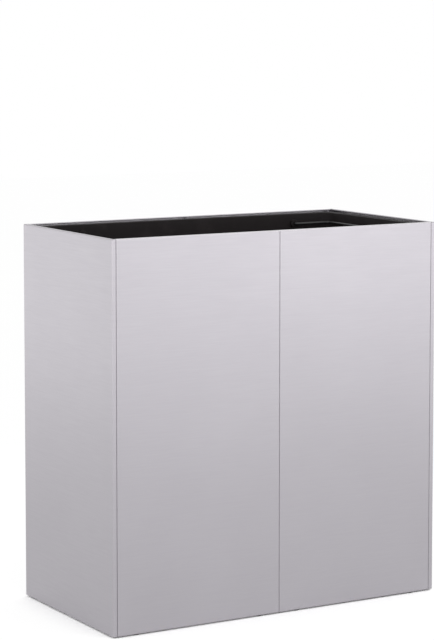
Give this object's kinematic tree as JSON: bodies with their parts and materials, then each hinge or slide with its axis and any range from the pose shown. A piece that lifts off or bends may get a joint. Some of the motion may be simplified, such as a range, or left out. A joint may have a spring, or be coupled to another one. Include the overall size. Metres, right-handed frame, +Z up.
{
  "type": "metal planter",
  "caption": "Tall rectangular floor planter of folded stainless panels bolted along inside seams, with a lift-out plastic liner on cross bearers and wire bail handles.",
  "frame": {"origin": "on the floor, under the middle of the planter", "axes": "+Z up, +X along the long front towards its right end, and the front faces -Y"},
  "size_m": [0.78, 0.4, 0.8],
  "materials": {
    "stainless_panel": "satin ground stainless sheet",
    "galvanised_steel": "galvanised sheet with a fine spangle",
    "zinc_plated_hardware": "bright zinc plate",
    "liner_plastic": "black moulded polypropylene with a fine texture",
    "glide_plastic": "black moulded polyamide",
    "coated_wire": "black dipped coating on steel wire"
  },
  "bodies": {
    "shell": {"front_left_panel": "stainless_panel", "front_right_panel": "stainless_panel", "back_left_panel": "stainless_panel", "back_right_panel": "stainless_panel", "left_end_panel": "stainless_panel", "right_end_panel": "stainless_panel", "floor_plate": "galvanised_steel", "left_cross_bearer": "galvanised_steel", "centre_cross_bearer": "galvanised_steel", "right_cross_bearer": "galvanised_steel", "front_left_glides": "glide_plastic", "front_right_glides": "glide_plastic", "back_left_glides": "glide_plastic", "back_right_glides": "glide_plastic", "front_left_corner_screws": "zinc_plated_hardware", "front_centre_screws": "zinc_plated_hardware", "front_right_corner_screws": "zinc_plated_hardware", "back_left_corner_screws": "zinc_plated_hardware", "back_centre_screws": "zinc_plated_hardware", "back_right_corner_screws": "zinc_plated_hardware", "front_left_corner_nuts": "zinc_plated_hardware", "front_centre_nuts": "zinc_plated_hardware", "front_right_corner_nuts": "zinc_plated_hardware", "back_left_corner_nuts": "zinc_plated_hardware", "back_centre_nuts": "zinc_plated_hardware", "back_right_corner_nuts": "zinc_plated_hardware"},
    "liner": {"planting_liner": "liner_plastic"},
    "left_bail": {"left_bail": "coated_wire"},
    "right_bail": {"right_bail": "coated_wire"}
  },
  "joints": [
    {"name": "liner_lift", "type": "slide", "parent": "shell", "child": "liner", "axis": [0, 0, 1], "range_m": [0, 0.345]},
    {"name": "left_bail_swing", "type": "hinge", "parent": "liner", "child": "left_bail", "pos_m": [-0.26627, 0, 0.774], "axis": [0, 1, 0], "range_deg": [0, 180]},
    {"name": "right_bail_swing", "type": "hinge", "parent": "liner", "child": "right_bail", "pos_m": [0.26627, 0, 0.774], "axis": [0, -1, 0], "range_deg": [0, 180]}
  ]
}
